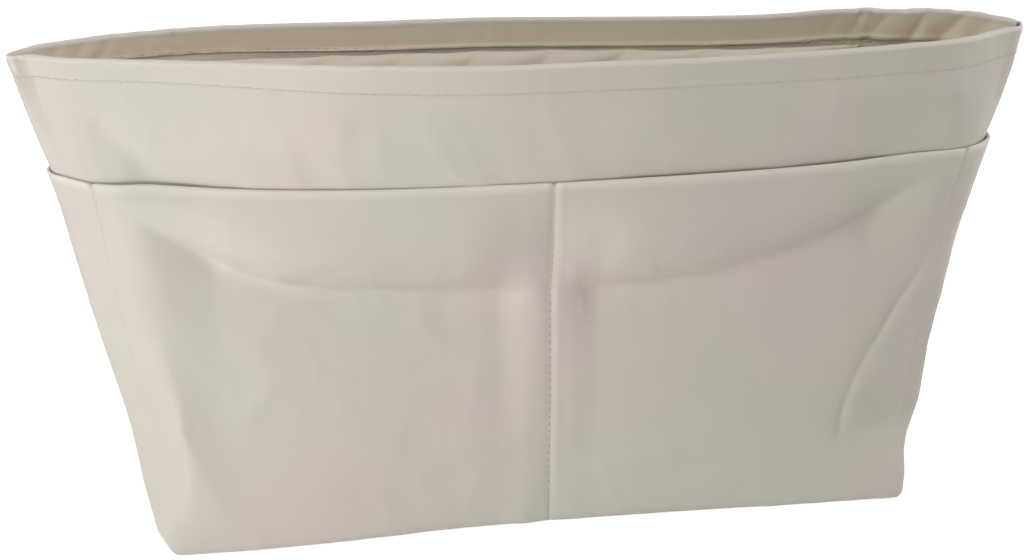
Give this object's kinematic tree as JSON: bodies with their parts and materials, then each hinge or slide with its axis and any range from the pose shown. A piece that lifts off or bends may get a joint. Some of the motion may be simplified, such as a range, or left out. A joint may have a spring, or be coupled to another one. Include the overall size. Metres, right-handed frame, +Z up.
{
  "type": "toiletry bag",
  "caption": "Open-topped soft nylon toiletry pouch with a boxed base, a lens-shaped hemmed mouth and slip pockets outside and inside.",
  "frame": {"origin": "middle of the base, on the surface that the bag stands on", "axes": "+X along the bag's width, -Y to the front with the divided pockets, +Z up through the mouth"},
  "size_m": [0.2992, 0.0676, 0.146],
  "materials": {
    "outer_nylon": "satin plain-weave nylon",
    "lining_nylon": "satin plain-weave nylon",
    "interlining_felt": "thin needled felt",
    "base_board": "matt sheet"
  },
  "bodies": {
    "bag": {"front_panel": "outer_nylon", "back_panel": "outer_nylon", "base_panel": "outer_nylon", "front_lining": "lining_nylon", "back_lining": "lining_nylon", "base_lining": "lining_nylon", "front_interlining": "interlining_felt", "back_interlining": "interlining_felt", "base_board": "base_board"},
    "front_left_pocket": {"front_left_pocket": "outer_nylon"},
    "front_right_pocket": {"front_right_pocket": "outer_nylon"},
    "back_left_pocket": {"back_left_pocket": "outer_nylon"},
    "back_right_pocket": {"back_right_pocket": "outer_nylon"},
    "left_end_pocket": {"left_end_pocket": "outer_nylon"},
    "right_end_pocket": {"right_end_pocket": "outer_nylon"},
    "inner_front_pocket": {"inner_front_pocket": "lining_nylon"},
    "inner_back_pocket": {"inner_back_pocket": "lining_nylon"}
  },
  "joints": [
    {"name": "front_left_pocket_gape", "type": "hinge", "parent": "bag", "child": "front_left_pocket", "pos_m": [-0.06, -0.03097, 0.0008], "axis": [1, 0, 0], "range_deg": [0, 9], "stiffness_Nm_per_rad": 0.3},
    {"name": "front_right_pocket_gape", "type": "hinge", "parent": "bag", "child": "front_right_pocket", "pos_m": [0.06, -0.03097, 0.0008], "axis": [1, 0, 0], "range_deg": [0, 9], "stiffness_Nm_per_rad": 0.3},
    {"name": "back_left_pocket_gape", "type": "hinge", "parent": "bag", "child": "back_left_pocket", "pos_m": [-0.06, 0.03097, 0.0008], "axis": [-1, 0, 0], "range_deg": [0, 9], "stiffness_Nm_per_rad": 0.3},
    {"name": "back_right_pocket_gape", "type": "hinge", "parent": "bag", "child": "back_right_pocket", "pos_m": [0.06, 0.03097, 0.0008], "axis": [-1, 0, 0], "range_deg": [0, 9], "stiffness_Nm_per_rad": 0.3},
    {"name": "left_end_pocket_gape", "type": "hinge", "parent": "bag", "child": "left_end_pocket", "pos_m": [-0.115, 0, 0.0008], "axis": [0, -1, 0], "range_deg": [0, 4], "stiffness_Nm_per_rad": 0.3},
    {"name": "right_end_pocket_gape", "type": "hinge", "parent": "bag", "child": "right_end_pocket", "pos_m": [0.115, 0, 0.0008], "axis": [0, 1, 0], "range_deg": [0, 4], "stiffness_Nm_per_rad": 0.3},
    {"name": "inner_front_pocket_gape", "type": "hinge", "parent": "bag", "child": "inner_front_pocket", "pos_m": [0, -0.0279, 0.0405], "axis": [-1, 0, 0], "range_deg": [0, 6], "stiffness_Nm_per_rad": 0.3},
    {"name": "inner_back_pocket_gape", "type": "hinge", "parent": "bag", "child": "inner_back_pocket", "pos_m": [0, 0.0279, 0.0405], "axis": [1, 0, 0], "range_deg": [0, 6], "stiffness_Nm_per_rad": 0.3}
  ]
}
